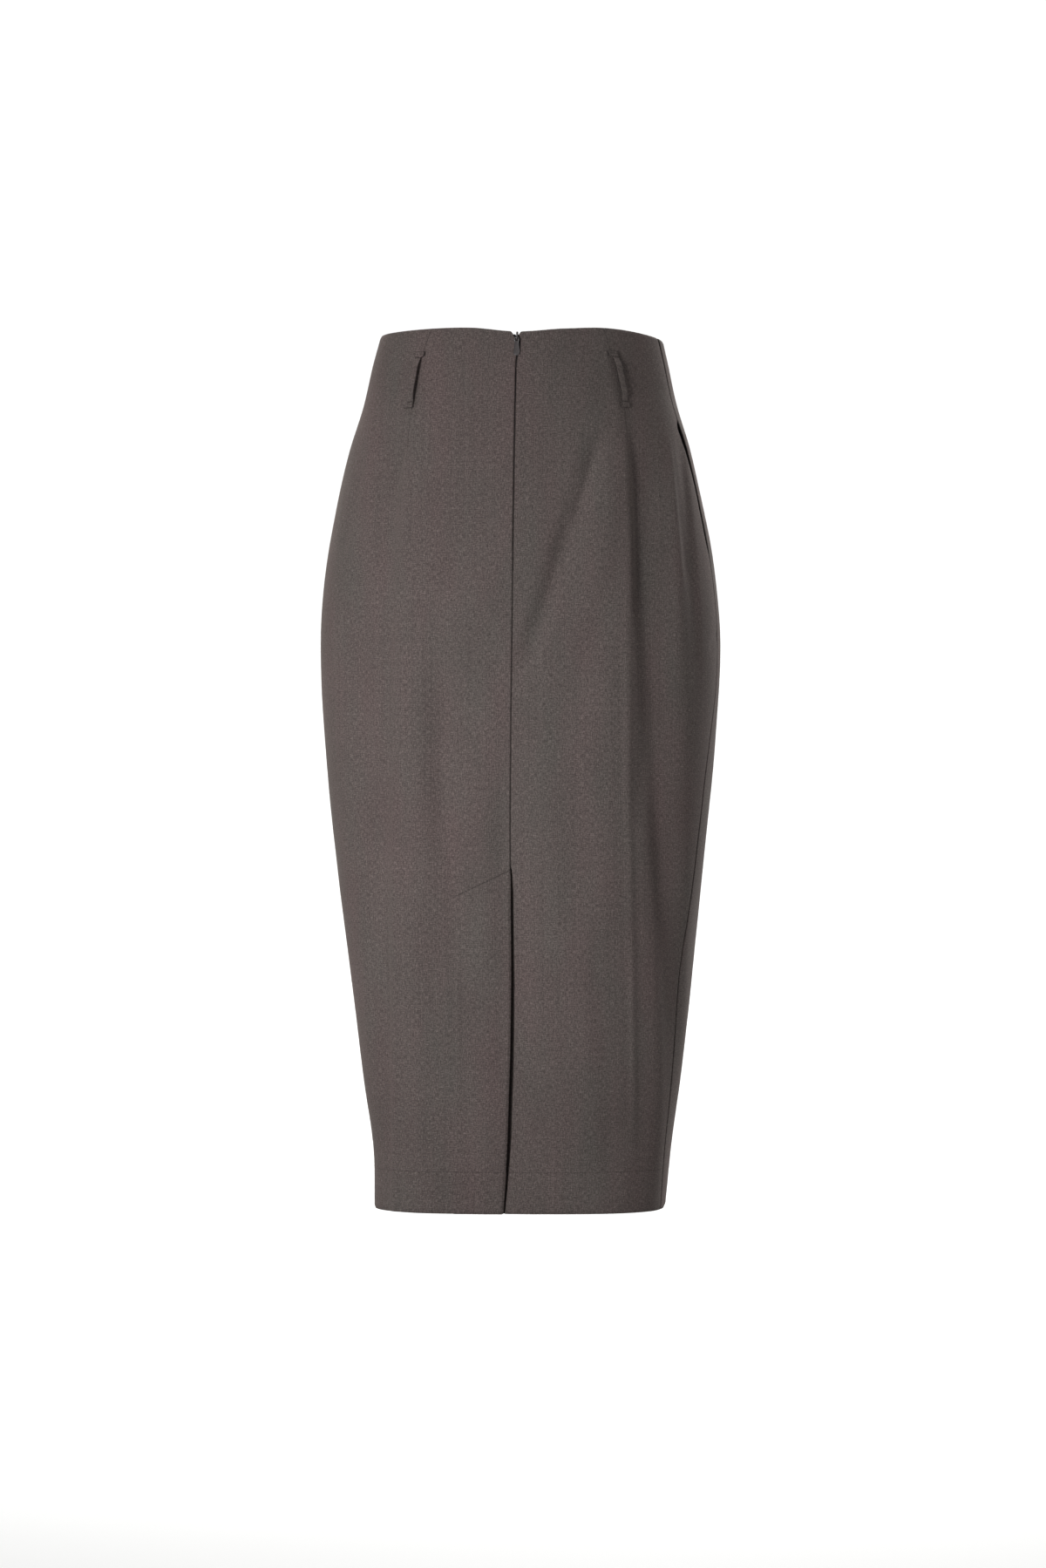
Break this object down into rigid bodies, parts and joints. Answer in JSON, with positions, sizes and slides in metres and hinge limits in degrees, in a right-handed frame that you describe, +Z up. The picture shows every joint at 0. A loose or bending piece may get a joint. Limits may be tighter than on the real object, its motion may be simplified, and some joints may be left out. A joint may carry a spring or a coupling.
{
  "type": "pencil skirt",
  "caption": "Below-knee pencil skirt in taupe suiting, high waist, concealed back zip, back vent, side seam pockets and belt loops.",
  "frame": {"origin": "middle of the waist opening at the height of its edge, where the wearer holds the skirt up", "axes": "+Z up towards the waist, -Y towards the front, +Y towards the back with its zip and vent, +X towards the wearer's left"},
  "size_m": [0.3549, 0.241, 0.7721],
  "materials": {
    "suiting": "soft matt mixture weave",
    "pocketing": "plain matt lining cotton",
    "zip_tape": "knitted tape",
    "zip_metal": "semi-gloss lacquer"
  },
  "bodies": {
    "skirt": {"back_left": "suiting", "back_right": "suiting", "front": "suiting", "belt_loop_back_left": "suiting", "belt_loop_back_right": "suiting", "belt_loop_front_left": "suiting", "belt_loop_front_right": "suiting", "pocket_bag_left": "pocketing", "pocket_bag_right": "pocketing", "zip_tape_left": "zip_tape", "zip_tape_right": "zip_tape", "zip_slider": "zip_metal"},
    "pull_tab": {"zip_pull": "zip_metal"}
  },
  "joints": [
    {"name": "pull_swing", "type": "hinge", "parent": "skirt", "child": "pull_tab", "pos_m": [-0.00095, 0.09443, -0.0064], "axis": [1, 0, 0], "range_deg": [0, 160]}
  ]
}
